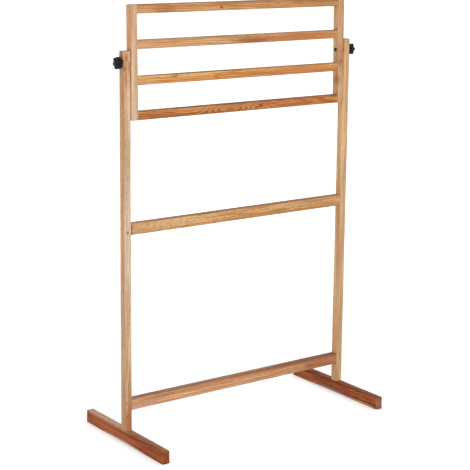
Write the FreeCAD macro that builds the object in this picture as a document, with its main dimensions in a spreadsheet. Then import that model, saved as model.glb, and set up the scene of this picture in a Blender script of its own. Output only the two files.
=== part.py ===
"""Freestanding towel stand with a tilting towel frame, in millimetres.

Two posts stand on arched feet and are tied by a middle and a lower rail. A frame of two stiles and
four towel bars hangs between the post tops on two pivot bolts, and a star knob outside each post
clamps it at any tilt.

The origin is on the floor, midway between the feet: +X to the right, the front faces -Y, +Z up.
"""
import FreeCAD, Part
import math
import os
import re
import types

import Sketcher
from FreeCAD import Placement, Rotation, Vector

# alias, value, what it measures
SIZES = (
    # stand
    ("stand_width", 700.0, "over the outer faces of the two posts"),
    ("post_width", 19.0, "post, along X"),
    ("post_depth", 22.0, "post, along Y"),
    ("post_length", 944.0, "post, from the foot's top to its own"),
    ("foot_width", 20.0, "foot, along X"),
    ("foot_height", 32.0, "foot, at its ends"),
    ("foot_length", 360.0, "foot, along Y"),
    ("arch_chord", 204.0, "arch under the foot, between its pads"),
    ("arch_rise", 5.5, "arch under the foot, at its middle"),
    ("rail_height", 29.0, "middle and lower rail, along Z"),
    ("rail_depth", 20.0, "middle and lower rail, along Y"),
    ("middle_rail_level", 543.0, "middle rail's axis above the floor"),
    ("lower_rail_level", 97.5, "lower rail's axis above the floor"),
    ("edge_round", 2.0, "rounding of the long edges and free ends"),
    # towel frame
    ("stile_width", 19.0, "stile, along X"),
    ("stile_depth", 22.0, "stile, along Y"),
    ("stile_length", 276.0, "stile, end to end"),
    ("bar_height", 22.0, "towel bar, along the stile"),
    ("bar_depth", 18.0, "towel bar, along Y"),
    ("bar_pitch", 84.0, "between the two upper bars, and between the two lower ones"),
    ("pivot_below_stile_top", 136.5, "pivot axis below the stile's top"),
    ("pivot_below_post_top", 28.0, "pivot axis below the post's top"),
    ("rest_tilt", 1.0, "lean of the frame to the back at rest, in degrees"),
    # bolts, barrel nuts and plugs of the stand
    ("bolt_diameter", 6.0, "every bolt's shank"),
    ("bolt_clearance", 0.2, "radial, bolt in its clearance hole"),
    ("thread_clearance", 0.05, "radial, bolt in a nut or insert"),
    ("bolt_lead", 0.8, "chamfer of the bolt's tip, and the room past it"),
    ("bolt_past_nut", 1.0, "bolt's tip past the far side of its nut"),
    ("head_diameter", 11.0, "bolt head"),
    ("head_height", 3.2, "bolt head"),
    ("head_round", 1.2, "rounding of the bolt head's rim"),
    ("head_clearance", 0.55, "radial, bolt head in its counterbore"),
    ("head_recess", 1.3, "foot bolt's head above the arch"),
    ("socket_width", 4.0, "hexagon socket, across its flats"),
    ("socket_depth", 2.0, "hexagon socket"),
    ("nut_diameter", 10.0, "barrel nut"),
    ("nut_length", 12.0, "barrel nut"),
    ("nut_clearance", 0.1, "radial and at the end, barrel nut in its hole"),
    ("nut_inset", 22.0, "barrel nut's axis behind the joint's face"),
    ("nut_slot_width", 1.2, "screwdriver slot in the barrel nut's end"),
    ("nut_slot_depth", 1.4, "screwdriver slot in the barrel nut's end"),
    ("bolt_above_rail_axis", 5.0, "rail bolt above the rail's axis"),
    ("bolt_behind_post_axis", 2.5, "foot bolt behind the post's axis"),
    ("plug_thickness", 3.8, "wooden plug over a rail bolt's head"),
    ("plug_clearance", 0.05, "radial, plug in the counterbore"),
    # dowels
    ("dowel_diameter", 8.0, "dowel of a rail or towel bar"),
    ("dowel_length", 30.0, "dowel of a rail or towel bar"),
    ("dowel_in_upright", 12.0, "length of that dowel in the post or stile"),
    ("dowel_below_rail_axis", 7.5, "rail dowel below the rail's axis"),
    ("foot_dowel_diameter", 6.0, "dowel between the foot and the post"),
    ("foot_dowel_length", 24.0, "half in the foot and half in the post"),
    ("dowel_before_post_axis", 6.0, "foot dowel in front of the post's axis"),
    ("dowel_clearance", 0.05, "radial, dowel in its hole"),
    ("dowel_end_gap", 1.0, "glue room at each end of a dowel"),
    ("dowel_lead", 0.8, "chamfer at each end of a dowel"),
    # pivots and star knobs
    ("pivot_clearance", 0.08, "radial, pivot bolt in the post"),
    ("mushroom_diameter", 10.0, "pivot bolt's domed head"),
    ("mushroom_height", 2.8, "pivot bolt's domed head"),
    ("mushroom_round", 2.4, "rounding that domes the head"),
    ("neck_side", 6.4, "square neck that keys the pivot bolt in the stile"),
    ("neck_height", 3.0, "square neck, under the head"),
    ("neck_clearance", 0.05, "each side of the square neck"),
    ("washer_thickness", 1.6, "spacer washer and clamp washer"),
    ("spacer_diameter", 18.0, "washer between the stile and the post"),
    ("clamp_washer_diameter", 16.0, "washer between the post and the knob"),
    ("knob_diameter", 30.0, "star knob, over its lobes"),
    ("knob_disc", 12.0, "star knob's lobed part, along its axis"),
    ("knob_hub_diameter", 17.0, "star knob's hub"),
    ("knob_hub_height", 2.5, "star knob's hub"),
    ("knob_lobes", 6.0, "number of lobes"),
    ("knob_floor", 2.0, "wall between the insert and the cap"),
    ("scallop_radius", 6.0, "hollow between two lobes"),
    ("scallop_depth", 3.5, "hollow between two lobes, in from the rim"),
    ("lobe_round", 1.4, "rounding of the lobes' rims"),
    ("face_ring_outer", 19.4, "sunk ring in the knob's face, over its outer wall"),
    ("face_ring_inner", 15.0, "sunk ring in the knob's face, over the boss round the cap"),
    ("face_ring_depth", 0.6, "sunk ring in the knob's face"),
    ("insert_diameter", 9.0, "brass insert in the knob"),
    ("insert_spare", 0.7, "insert past the pivot bolt's tip"),
    ("insert_clearance", 0.05, "radial, insert in the knob"),
    ("cap_diameter", 12.0, "cap on the knob's outer face"),
    ("cap_recess", 1.5, "cap's seat in the knob"),
    ("cap_proud", 1.2, "cap above the knob's outer face"),
    ("cap_round", 1.0, "rounding of the cap's rim"),
    ("cap_clearance", 0.05, "radial, cap in its seat"),
    ("left_knob_turn", 14.0, "lobe of the left knob above the front, in degrees"),
    ("right_knob_turn", 0.0, "lobe of the right knob above the front, in degrees"),
)

# formulas that more than one piece follows
RAIL_LENGTH = "(stand_width - 2 * post_width)"
BAR_LENGTH = "(stand_width - 2 * (post_width + washer_thickness + stile_width))"
BOLT_HOLE = "bolt_diameter + 2 * bolt_clearance"
THREAD = "bolt_diameter + 2 * thread_clearance"
COUNTERBORE = "head_diameter + 2 * head_clearance"
BOLT_PAST_FACE = "nut_inset + nut_diameter / 2 + bolt_past_nut"
FOOT_BOLT_SEAT = "(arch_rise + head_recess + head_height)"
DOWEL_HOLE = "dowel_diameter + 2 * dowel_clearance"
INSERT_LENGTH = "knob_hub_height + knob_disc - knob_floor - cap_recess"
CENTRE = ("0", "0", "0")

# a sketch's normal, and its offset's x, y and z from a point of the body
PLANES = {
    "XY_Plane": ("+Z", lambda x, y, z: (x, y, z)),
    "XZ_Plane": ("-Y", lambda x, y, z: (x, z, f"-({y})")),
    "YZ_Plane": ("+X", lambda x, y, z: (y, z, x)),
}
X, Y, Z = Vector(1, 0, 0), Vector(0, 1, 0), Vector(0, 0, 1)
SIDES = {-1: "left", 1: "right"}
TOWARDS = {-1: "-X", 1: "+X"}
RAILS = {"middle": "middle_rail_level", "lower": "lower_rail_level"}
BARS = {  # end of the stile that the bar is counted from, and pitches from there
    "top_bar": (1, 0),
    "second_bar": (1, 1),
    "third_bar": (-1, 1),
    "bottom_bar": (-1, 0),
}
TOLERANCE = 1e-6

doc = FreeCAD.newDocument("towel_stand")
pieces = []


def make_sheet():
    """Writes the sizes to the sheet and returns them by alias."""
    sheet = doc.addObject("Spreadsheet::Sheet", "Sizes")
    for row, (alias, value, meaning) in enumerate(SIZES, start=1):
        sheet.set(f"A{row}", meaning)
        sheet.set(f"B{row}", str(value))
        sheet.setAlias(f"B{row}", alias)
    doc.recompute()
    return types.SimpleNamespace(**{alias: float(sheet.get(alias)) for alias, _, _ in SIZES})


def bound(formula):
    """A formula of aliases as an expression on the sheet."""
    return re.sub(r"[a-z]\w+", r"Sizes.\g<0>", formula)


class Piece:
    """One solid of the stand: a body and the features that shape it."""

    def __init__(self, label):
        self.body = doc.addObject("PartDesign::Body", label)
        self.body.Label = label

    def plane(self, role):
        """The body's own origin plane or axis of this role."""
        return next(part for part in self.body.Origin.OriginFeatures if part.Role == role)

    def attach(self, feature, role, at):
        """Puts a feature on an origin plane, moved to a point given as three formulas."""
        feature.AttachmentSupport = [(self.plane(role), "")]
        feature.MapMode = "FlatFace"
        for axis, formula in zip("xyz", PLANES[role][1](*at)):
            feature.setExpression(f"AttachmentOffset.Base.{axis}", bound(formula))
        return feature

    def sketch(self, role, at):
        """An empty sketch on an origin plane."""
        return self.attach(self.body.newObject("Sketcher::SketchObject", "Sketch"), role, at)

    def circles(self, role, at, *diameters):
        """A sketch of circles about its origin."""
        sketch = self.sketch(role, at)
        for index, diameter in enumerate(diameters):
            sketch.addGeometry(Part.Circle(Vector(), Z, 1.0 + index), False)
            sketch.addConstraint(Sketcher.Constraint("Coincident", index, 3, -1, 1))
            drive(sketch, ("Diameter", index), 2.0 + 2 * index, diameter)
        return sketch

    def rectangle(self, role, at, width, height):
        """A sketch of a rectangle centred on its origin."""
        sketch = self.sketch(role, at)
        corners = [Vector(x, y, 0) for x, y in ((-9, -5), (9, -5), (9, 5), (-9, 5))]
        for start, end in zip(corners, corners[1:] + corners[:1]):
            sketch.addGeometry(Part.LineSegment(start, end), False)
        for side in range(4):
            sketch.addConstraint(Sketcher.Constraint("Coincident", side, 2, (side + 1) % 4, 1))
            direction = "Vertical" if side % 2 else "Horizontal"
            sketch.addConstraint(Sketcher.Constraint(direction, side))
        sketch.addConstraint(Sketcher.Constraint("Symmetric", 0, 1, 2, 1, -1, 1))
        drive(sketch, ("DistanceX", 0, 1, 0, 2), 18.0, width)
        drive(sketch, ("DistanceY", 1, 1, 1, 2), 10.0, height)
        return sketch

    def pad(self, sketch, length, towards):
        """Adds the sketch's area, drawn out over a length in a direction such as +X."""
        pad = self.body.newObject("PartDesign::Pad", "Pad")
        pad.Profile = sketch
        pad.Reversed = normal(sketch) != towards
        pad.setExpression("Length", bound(length))
        doc.recompute()
        return pad

    def pocket(self, sketch, depth, towards):
        """Cuts the sketch's area over a depth in a direction such as -Z."""
        before = self.body.Shape.Volume
        pocket = self.body.newObject("PartDesign::Pocket", "Pocket")
        pocket.Profile = sketch
        pocket.Reversed = normal(sketch) == towards
        pocket.setExpression("Length", bound(depth))
        doc.recompute()
        if not self.body.Shape.Volume < before:
            raise RuntimeError(f"a pocket of {self.body.Label} cuts nothing")
        return pocket

    def hexagon_socket(self, at, across_flats, depth):
        """Cuts a hexagon from a point towards +Z."""
        socket = self.body.newObject("PartDesign::SubtractivePrism", "Socket")
        self.attach(socket, "XY_Plane", at)
        socket.Polygon = 6
        socket.setExpression("Circumradius", f"{bound(across_flats)} / sqrt(3)")
        socket.setExpression("Height", bound(depth))
        doc.recompute()

    def dress(self, kind, radius, *tests):
        """Puts a Fillet or Chamfer on the edges that pass one of the tests."""
        tip = self.body.Tip
        names = [
            f"Edge{number}" for number, edge in enumerate(tip.Shape.Edges, start=1)
            if any(test(edge) for test in tests)
        ]
        if not names:
            raise RuntimeError(f"{self.body.Label} has no such edge")
        dressed = self.body.newObject(f"PartDesign::{kind}", kind)
        dressed.Base = (tip, names)
        dressed.setExpression({"Fillet": "Radius", "Chamfer": "Size"}[kind], bound(radius))
        doc.recompute()

    def repeat_round(self, feature, role, count):
        """Repeats a feature about an axis of the body, a whole turn over a count."""
        pattern = self.body.newObject("PartDesign::PolarPattern", "Pattern")
        pattern.Originals = [feature]
        pattern.Axis = (self.plane(role), [""])
        pattern.Angle = 360.0
        pattern.setExpression("Occurrences", bound(count))
        self.body.Tip = pattern
        doc.recompute()

    def top(self):
        """The level of the body's upper end so far."""
        return self.body.Shape.BoundBox.ZMax

    def place(self, placement):
        """Puts the finished piece in the stand."""
        self.body.Placement = placement
        pieces.append(self.body)


def normal(sketch):
    """The direction that a sketch's normal points in."""
    return PLANES[sketch.AttachmentSupport[0][0].Role][0]


def drive(sketch, constraint, start, formula):
    """Adds a dimension to a sketch and binds it to a formula."""
    index = sketch.addConstraint(Sketcher.Constraint(*constraint, start))
    sketch.setExpression(f"Constraints[{index}]", bound(formula))


def along(axis):
    """A test for the straight edges that run along an axis."""
    def passes(edge):
        direction = edge.tangentAt(edge.FirstParameter)
        return isinstance(edge.Curve, Part.Line) and abs(direction.dot(axis)) > 1 - TOLERANCE
    return passes


def level_at(axis, level):
    """A test for the edges that lie in the plane at a level along an axis."""
    def passes(edge):
        return all(abs(vertex.Point.dot(axis) - level) < TOLERANCE for vertex in edge.Vertexes)
    return passes


def in_frame(x, above_pivot, rotation=Rotation()):
    """A place on the towel frame, which leans about its pivot."""
    leaning = Placement(Vector(0, 0, pivot_level), Rotation(X, -size.rest_tilt))
    return leaning.multiply(Placement(Vector(x, 0, above_pivot), rotation))


def pointing(direction, turn=0.0):
    """Turns a piece built along +Z to point in a direction, and about that by some degrees."""
    return Rotation(direction, turn).multiply(Rotation(Z, direction))


def make_post(side):
    """A post, counterbored for its rail bolts and bored from below for its foot."""
    post = Piece(f"{SIDES[side]}_post")
    outward, inward = TOWARDS[side], TOWARDS[-side]
    outer, inner = f"{side} * post_width / 2", f"{-side} * post_width / 2"
    section = post.rectangle("XY_Plane", CENTRE, "post_width", "post_depth")
    post.pad(section, "post_length", "+Z")
    post.dress("Fillet", "edge_round", along(Z), level_at(Z, size.post_length))
    pivot = (outer, "0", "post_length - pivot_below_post_top")
    running_hole = post.circles("YZ_Plane", pivot, "bolt_diameter + 2 * pivot_clearance")
    post.pocket(running_hole, "post_width", inward)
    for level in RAILS.values():
        bolt = (outer, "0", f"{level} - foot_height + bolt_above_rail_axis")
        dowel = (inner, "0", f"{level} - foot_height - dowel_below_rail_axis")
        post.pocket(post.circles("YZ_Plane", bolt, BOLT_HOLE), "post_width", inward)
        seat_depth = "plug_thickness + head_height"
        post.pocket(post.circles("YZ_Plane", bolt, COUNTERBORE), seat_depth, inward)
        dowel_depth = "dowel_in_upright + dowel_end_gap"
        post.pocket(post.circles("YZ_Plane", dowel, DOWEL_HOLE), dowel_depth, outward)
    foot_bolt = post.circles("XY_Plane", ("0", "bolt_behind_post_axis", "0"), BOLT_HOLE)
    post.pocket(foot_bolt, f"{BOLT_PAST_FACE} + bolt_lead", "+Z")
    foot_dowel = post.circles(
        "XY_Plane", ("0", "-dowel_before_post_axis", "0"), "foot_dowel_diameter + 2 * dowel_clearance"
    )
    post.pocket(foot_dowel, "foot_dowel_length / 2 + dowel_end_gap", "+Z")
    nut_hole = post.circles(
        "XZ_Plane", ("0", "post_depth / 2", "nut_inset"), "nut_diameter + 2 * nut_clearance"
    )
    nut_depth = "post_depth / 2 - bolt_behind_post_axis + nut_length / 2 + nut_clearance"
    post.pocket(nut_hole, nut_depth, "-Y")
    post.place(Placement(Vector(side * post_axis, 0, size.foot_height), Rotation()))


def foot_outline(foot):
    """The foot's side view: flat pads at both ends of a shallow arch."""
    sketch = foot.sketch("YZ_Plane", ("-foot_width / 2", "0", "0"))
    half_chord, half_length = size.arch_chord / 2, size.foot_length / 2
    radius = (half_chord ** 2 + size.arch_rise ** 2) / (2 * size.arch_rise)
    half_angle = math.asin(half_chord / radius)
    back_pad, back_end, top, front_end, front_pad, arch = range(6)
    corners = [
        Vector(half_chord, 0, 0), Vector(half_length, 0, 0),
        Vector(half_length, size.foot_height, 0), Vector(-half_length, size.foot_height, 0),
        Vector(-half_length, 0, 0), Vector(-half_chord, 0, 0),
    ]
    for start, end in zip(corners, corners[1:]):
        sketch.addGeometry(Part.LineSegment(start, end), False)
    circle = Part.Circle(Vector(0, size.arch_rise - radius, 0), Z, radius)
    turns = (math.pi / 2 - half_angle, math.pi / 2 + half_angle)
    sketch.addGeometry(Part.ArcOfCircle(circle, *turns), False)
    for line in (back_pad, back_end, top, front_end):
        sketch.addConstraint(Sketcher.Constraint("Coincident", line, 2, line + 1, 1))
    sketch.addConstraint(Sketcher.Constraint("Coincident", arch, 1, back_pad, 1))
    sketch.addConstraint(Sketcher.Constraint("Coincident", arch, 2, front_pad, 2))
    for line in (back_end, front_end):
        sketch.addConstraint(Sketcher.Constraint("Vertical", line))
    for line in (back_pad, front_pad):
        sketch.addConstraint(Sketcher.Constraint("PointOnObject", line, 1, -1))
        sketch.addConstraint(Sketcher.Constraint("PointOnObject", line, 2, -1))
    for line in (top, arch):
        sketch.addConstraint(Sketcher.Constraint("Symmetric", line, 1, line, 2, -2))
    drive(sketch, ("DistanceX", top, 2, top, 1), size.foot_length, "foot_length")
    drive(sketch, ("DistanceY", back_end, 1, back_end, 2), size.foot_height, "foot_height")
    drive(sketch, ("DistanceX", arch, 2, arch, 1), size.arch_chord, "arch_chord")
    drive(sketch, ("Radius", arch), radius, "(arch_chord ^ 2 / 4 + arch_rise ^ 2) / (2 * arch_rise)")
    return sketch


def make_foot(side):
    """A foot, arched between two pads, with its bolt counterbored from below."""
    foot = Piece(f"{SIDES[side]}_foot")
    foot.pad(foot_outline(foot), "foot_width", "+X")

    def upright_end(edge):
        return along(Z)(edge) and level_at(Y, size.foot_length / 2)(edge)

    def upright_front(edge):
        return along(Z)(edge) and level_at(Y, -size.foot_length / 2)(edge)

    foot.dress("Fillet", "edge_round", level_at(Z, size.foot_height), upright_end, upright_front)
    at_bolt = ("0", "bolt_behind_post_axis")
    bolt_hole = foot.circles("XY_Plane", (*at_bolt, "foot_height"), BOLT_HOLE)
    foot.pocket(bolt_hole, "foot_height", "-Z")
    counterbore = foot.circles("XY_Plane", (*at_bolt, FOOT_BOLT_SEAT), COUNTERBORE)
    foot.pocket(counterbore, FOOT_BOLT_SEAT, "-Z")
    dowel_hole = foot.circles(
        "XY_Plane", ("0", "-dowel_before_post_axis", "foot_height"),
        "foot_dowel_diameter + 2 * dowel_clearance",
    )
    foot.pocket(dowel_hole, "foot_dowel_length / 2 + dowel_end_gap", "-Z")
    foot.place(Placement(Vector(side * post_axis, 0, 0), Rotation()))


def make_rail(name):
    """A rail between the posts, bored at each end for its bolt, barrel nut and dowel."""
    rail = Piece(f"{name}_rail")
    start = (f"-{RAIL_LENGTH} / 2", "0", "0")
    rail.pad(rail.rectangle("YZ_Plane", start, "rail_depth", "rail_height"), RAIL_LENGTH, "+X")
    rail.dress("Fillet", "edge_round", along(X))
    for side in SIDES:
        end, inward = f"{side} * {RAIL_LENGTH} / 2", TOWARDS[-side]
        bolt_hole = rail.circles("YZ_Plane", (end, "0", "bolt_above_rail_axis"), BOLT_HOLE)
        rail.pocket(bolt_hole, f"{BOLT_PAST_FACE} + bolt_lead", inward)
        dowel_hole = rail.circles("YZ_Plane", (end, "0", "-dowel_below_rail_axis"), DOWEL_HOLE)
        rail.pocket(dowel_hole, "dowel_length - dowel_in_upright + dowel_end_gap", inward)
        nut_hole = rail.circles(
            "XZ_Plane", (f"{end} - {side} * nut_inset", "rail_depth / 2", "bolt_above_rail_axis"),
            "nut_diameter + 2 * nut_clearance",
        )
        rail.pocket(nut_hole, "rail_depth / 2 + nut_length / 2 + nut_clearance", "-Y")
    rail.place(Placement(Vector(0, 0, getattr(size, RAILS[name])), Rotation()))


def make_stile(side):
    """A stile about its pivot, bored for the pivot bolt and four bar dowels."""
    stile = Piece(f"{SIDES[side]}_stile")
    inner, outward = f"{-side} * stile_width / 2", TOWARDS[side]
    section = stile.rectangle(
        "XY_Plane", ("0", "0", "pivot_below_stile_top - stile_length"), "stile_width", "stile_depth"
    )
    stile.pad(section, "stile_length", "+Z")
    top = size.pivot_below_stile_top
    ends = (level_at(Z, top), level_at(Z, top - size.stile_length))
    stile.dress("Fillet", "edge_round", along(Z), *ends)
    stile.pocket(stile.circles("YZ_Plane", (inner, "0", "0"), BOLT_HOLE), "stile_width", outward)
    neck = "neck_side + 2 * neck_clearance"
    neck_hole = stile.rectangle("YZ_Plane", (inner, "0", "0"), neck, neck)
    stile.pocket(neck_hole, "neck_height + neck_clearance", outward)
    for end, pitches in BARS.values():
        level = (
            f"pivot_below_stile_top - stile_length / 2"
            f" + {end} * ((stile_length - bar_height) / 2 - {pitches} * bar_pitch)"
        )
        dowel_hole = stile.circles("YZ_Plane", (inner, "0", level), DOWEL_HOLE)
        stile.pocket(dowel_hole, "dowel_in_upright + dowel_end_gap", outward)
    stile.place(in_frame(side * stile_axis, 0))


def bar_above_pivot(name):
    """A towel bar's axis above the pivot, along the stile."""
    end, pitches = BARS[name]
    from_middle = end * ((size.stile_length - size.bar_height) / 2 - pitches * size.bar_pitch)
    return size.pivot_below_stile_top - size.stile_length / 2 + from_middle


def make_bar(name):
    """A towel bar of the frame, with a dowel hole in each end."""
    bar = Piece(name)
    start = (f"-{BAR_LENGTH} / 2", "0", "0")
    bar.pad(bar.rectangle("YZ_Plane", start, "bar_depth", "bar_height"), BAR_LENGTH, "+X")
    bar.dress("Fillet", "edge_round", along(X))
    for side in SIDES:
        end = (f"{side} * {BAR_LENGTH} / 2", "0", "0")
        depth = "dowel_length - dowel_in_upright + dowel_end_gap"
        bar.pocket(bar.circles("YZ_Plane", end, DOWEL_HOLE), depth, TOWARDS[-side])
    bar.place(in_frame(0, bar_above_pivot(name)))


def make_dowel(label, diameter, length):
    """A dowel along +Z, chamfered at both ends."""
    dowel = Piece(label)
    dowel.pad(dowel.circles("XY_Plane", CENTRE, diameter), length, "+Z")
    dowel.dress("Chamfer", "dowel_lead", level_at(Z, 0), level_at(Z, dowel.top()))
    return dowel


def make_bar_dowels(name):
    """The dowels at both ends of a towel bar, as one group."""
    reach = stile_inner + size.dowel_in_upright
    dowels = []
    for side in SIDES:
        dowel = make_dowel(f"{name}_{SIDES[side]}_dowel", "dowel_diameter", "dowel_length")
        inward = pointing(-side * X)
        dowel.body.Placement = in_frame(side * reach, bar_above_pivot(name), inward)
        dowels.append(dowel.body)
    group = doc.addObject("Part::Compound", f"{name}_dowels")
    group.Label = f"{name}_dowels"
    group.Links = dowels
    pieces.append(group)


def make_bolt(label, length):
    """A pan-head bolt with a hexagon socket: the shank runs along +Z from the head's seat."""
    bolt = Piece(label)
    head = bolt.circles("XY_Plane", ("0", "0", "-head_height"), "head_diameter")
    bolt.pad(head, "head_height", "+Z")
    bolt.dress("Fillet", "head_round", level_at(Z, -size.head_height))
    bolt.pad(bolt.circles("XY_Plane", CENTRE, "bolt_diameter"), length, "+Z")
    bolt.dress("Chamfer", "bolt_lead", level_at(Z, bolt.top()))
    bolt.hexagon_socket(("0", "0", "-head_height"), "socket_width", "socket_depth")
    return bolt


def make_barrel_nut(label):
    """A barrel nut along +Z, centred on its cross hole, with a slot in its outer end."""
    nut = Piece(label)
    lower_end = ("0", "0", "-nut_length / 2")
    nut.pad(nut.circles("XY_Plane", lower_end, "nut_diameter"), "nut_length", "+Z")
    cross_hole = nut.circles("XZ_Plane", ("0", "-nut_diameter / 2", "0"), THREAD)
    nut.pocket(cross_hole, "nut_diameter", "+Y")
    slot_at = ("0", "0", "nut_length / 2")
    slot = nut.rectangle("XY_Plane", slot_at, "nut_slot_width", "nut_diameter")
    nut.pocket(slot, "nut_slot_depth", "-Z")
    return nut


def make_rail_joint(name, side):
    """The bolt, barrel nut, dowel and plug at one end of a rail."""
    label = f"{name}_rail_{SIDES[side]}"
    outer, level = size.stand_width / 2, getattr(size, RAILS[name])
    bolt_level = level + size.bolt_above_rail_axis
    outward, inward = pointing(side * X), pointing(-side * X)

    bolt = make_bolt(f"{label}_bolt", f"post_width - plug_thickness - head_height + {BOLT_PAST_FACE}")
    seat = outer - size.plug_thickness - size.head_height
    bolt.place(Placement(Vector(side * seat, 0, bolt_level), inward))

    nut = make_barrel_nut(f"{label}_nut")
    nut_at = Vector(side * (post_inner - size.nut_inset), 0, bolt_level)
    nut.place(Placement(nut_at, pointing(Y, 90.0)))

    dowel = make_dowel(f"{label}_dowel", "dowel_diameter", "dowel_length")
    reach = post_inner + size.dowel_in_upright
    dowel.place(Placement(Vector(side * reach, 0, level - size.dowel_below_rail_axis), inward))

    plug = Piece(f"{label}_plug")
    plug_section = plug.circles("XY_Plane", CENTRE, f"{COUNTERBORE} - 2 * plug_clearance")
    plug.pad(plug_section, "plug_thickness", "+Z")
    plug_at = Vector(side * (outer - size.plug_thickness), 0, bolt_level)
    plug.place(Placement(plug_at, outward))


def make_foot_joint(side):
    """The bolt, barrel nut and dowel between a foot and its post."""
    label, x = f"{SIDES[side]}_foot", side * post_axis
    bolt = make_bolt(f"{label}_bolt", f"foot_height - {FOOT_BOLT_SEAT} + {BOLT_PAST_FACE}")
    seat = size.arch_rise + size.head_recess + size.head_height
    bolt.place(Placement(Vector(x, size.bolt_behind_post_axis, seat), Rotation()))

    nut = make_barrel_nut(f"{label}_nut")
    nut_at = Vector(x, size.bolt_behind_post_axis, size.foot_height + size.nut_inset)
    nut.place(Placement(nut_at, pointing(Y)))

    dowel = make_dowel(f"{label}_dowel", "foot_dowel_diameter", "foot_dowel_length")
    lower_end = size.foot_height - size.foot_dowel_length / 2
    dowel.place(Placement(Vector(x, -size.dowel_before_post_axis, lower_end), Rotation()))


def make_pivot_bolt(side):
    """A domed bolt, its square neck keyed in the stile, through the post to the knob."""
    bolt = Piece(f"{SIDES[side]}_pivot_bolt")
    head = bolt.circles("XY_Plane", ("0", "0", "-mushroom_height"), "mushroom_diameter")
    bolt.pad(head, "mushroom_height", "+Z")
    bolt.dress("Fillet", "mushroom_round", level_at(Z, -size.mushroom_height))
    neck = bolt.rectangle("XY_Plane", CENTRE, "neck_side", "neck_side")
    bolt.pad(neck, "neck_height", "+Z")
    length = f"stile_width + post_width + 2 * washer_thickness + {INSERT_LENGTH} - insert_spare"
    bolt.pad(bolt.circles("XY_Plane", CENTRE, "bolt_diameter"), length, "+Z")
    bolt.dress("Chamfer", "bolt_lead", level_at(Z, bolt.top()))
    bolt.place(in_frame(side * stile_inner, 0, pointing(side * X)))


def make_washer(label, diameter):
    """A flat washer along +Z."""
    washer = Piece(label)
    ring = washer.circles("XY_Plane", CENTRE, diameter, BOLT_HOLE)
    washer.pad(ring, "washer_thickness", "+Z")
    return washer


def make_knob(side):
    """A star knob: a lobed disc on a hub, bored for its insert, with its cap in a ringed boss."""
    knob = Piece(f"{SIDES[side]}_knob")
    under, over = ("0", "0", "knob_hub_height"), "knob_hub_height + knob_disc"
    knob.pad(knob.circles("XY_Plane", under, "knob_diameter"), "knob_disc", "+Z")
    scallop_at = ("knob_diameter / 2 - scallop_depth + scallop_radius", "0", over)
    scallop = knob.pocket(knob.circles("XY_Plane", scallop_at, "2 * scallop_radius"), "knob_disc", "-Z")
    knob.repeat_round(scallop, "Z_Axis", "knob_lobes")
    rims = (level_at(Z, size.knob_hub_height), level_at(Z, size.knob_hub_height + size.knob_disc))
    knob.dress("Fillet", "lobe_round", *rims)
    knob.pad(knob.circles("XY_Plane", CENTRE, "knob_hub_diameter"), "knob_hub_height", "+Z")
    insert_hole = knob.circles("XY_Plane", CENTRE, "insert_diameter + 2 * insert_clearance")
    knob.pocket(insert_hole, INSERT_LENGTH, "+Z")
    cap_seat = knob.circles("XY_Plane", ("0", "0", over), "cap_diameter + 2 * cap_clearance")
    knob.pocket(cap_seat, "cap_recess", "-Z")
    face_ring = knob.circles("XY_Plane", ("0", "0", over), "face_ring_outer", "face_ring_inner")
    knob.pocket(face_ring, "face_ring_depth", "-Z")
    return knob


def make_knob_insert(side):
    """The brass insert that the pivot bolt screws into."""
    insert = Piece(f"{SIDES[side]}_knob_insert")
    insert.pad(insert.circles("XY_Plane", CENTRE, "insert_diameter", THREAD), INSERT_LENGTH, "+Z")
    return insert


def make_knob_cap(side):
    """The round cap in the knob's outer face."""
    cap = Piece(f"{SIDES[side]}_knob_cap")
    section = cap.circles("XY_Plane", ("0", "0", "-cap_recess"), "cap_diameter")
    cap.pad(section, "cap_recess + cap_proud", "+Z")
    cap.dress("Fillet", "cap_round", level_at(Z, size.cap_proud))
    return cap


def make_clamp(side):
    """The pivot of one side: spacer, clamp washer and the star knob with its insert and cap."""
    turn = {-1: size.left_knob_turn, 1: size.right_knob_turn}[side]
    straight, turned = pointing(side * X), pointing(side * X, turn)
    post_face = size.stand_width / 2
    knob_face = post_face + size.washer_thickness
    cap_face = knob_face + size.knob_hub_height + size.knob_disc
    spacer = make_washer(f"{SIDES[side]}_spacer_washer", "spacer_diameter")
    spacer.place(in_frame(side * stile_outer, 0, straight))
    washer = make_washer(f"{SIDES[side]}_clamp_washer", "clamp_washer_diameter")
    washer.place(in_frame(side * post_face, 0, straight))
    make_knob(side).place(in_frame(side * knob_face, 0, turned))
    make_knob_insert(side).place(in_frame(side * knob_face, 0, turned))
    make_knob_cap(side).place(in_frame(side * cap_face, 0, turned))


def export_pieces():
    """Checks every object and piece, then writes each piece to its own file."""
    doc.recompute()
    for made in doc.Objects:
        if {"Invalid", "Error"} & set(made.State):
            raise RuntimeError(f"{made.Label} failed: {made.State}")
    for piece in pieces:
        if piece.Shape.isNull() or not piece.Shape.isValid() or not piece.Shape.Solids:
            raise RuntimeError(f"{piece.Label} has no valid solid")
    os.makedirs("parts", exist_ok=True)
    for piece in pieces:
        piece.Shape.exportStep(f"parts/{piece.Label}.step")
    print(f"{len(pieces)} pieces written")


size = make_sheet()
post_axis = (size.stand_width - size.post_width) / 2
post_inner = size.stand_width / 2 - size.post_width
pivot_level = size.foot_height + size.post_length - size.pivot_below_post_top
stile_outer = post_inner - size.washer_thickness
stile_axis = stile_outer - size.stile_width / 2
stile_inner = stile_outer - size.stile_width

for side in SIDES:
    make_post(side)
    make_foot(side)
    make_foot_joint(side)
for name in RAILS:
    make_rail(name)
    for side in SIDES:
        make_rail_joint(name, side)
for side in SIDES:
    make_stile(side)
    make_pivot_bolt(side)
    make_clamp(side)
for name in BARS:
    make_bar(name)
    make_bar_dowels(name)
export_pieces()
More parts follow.
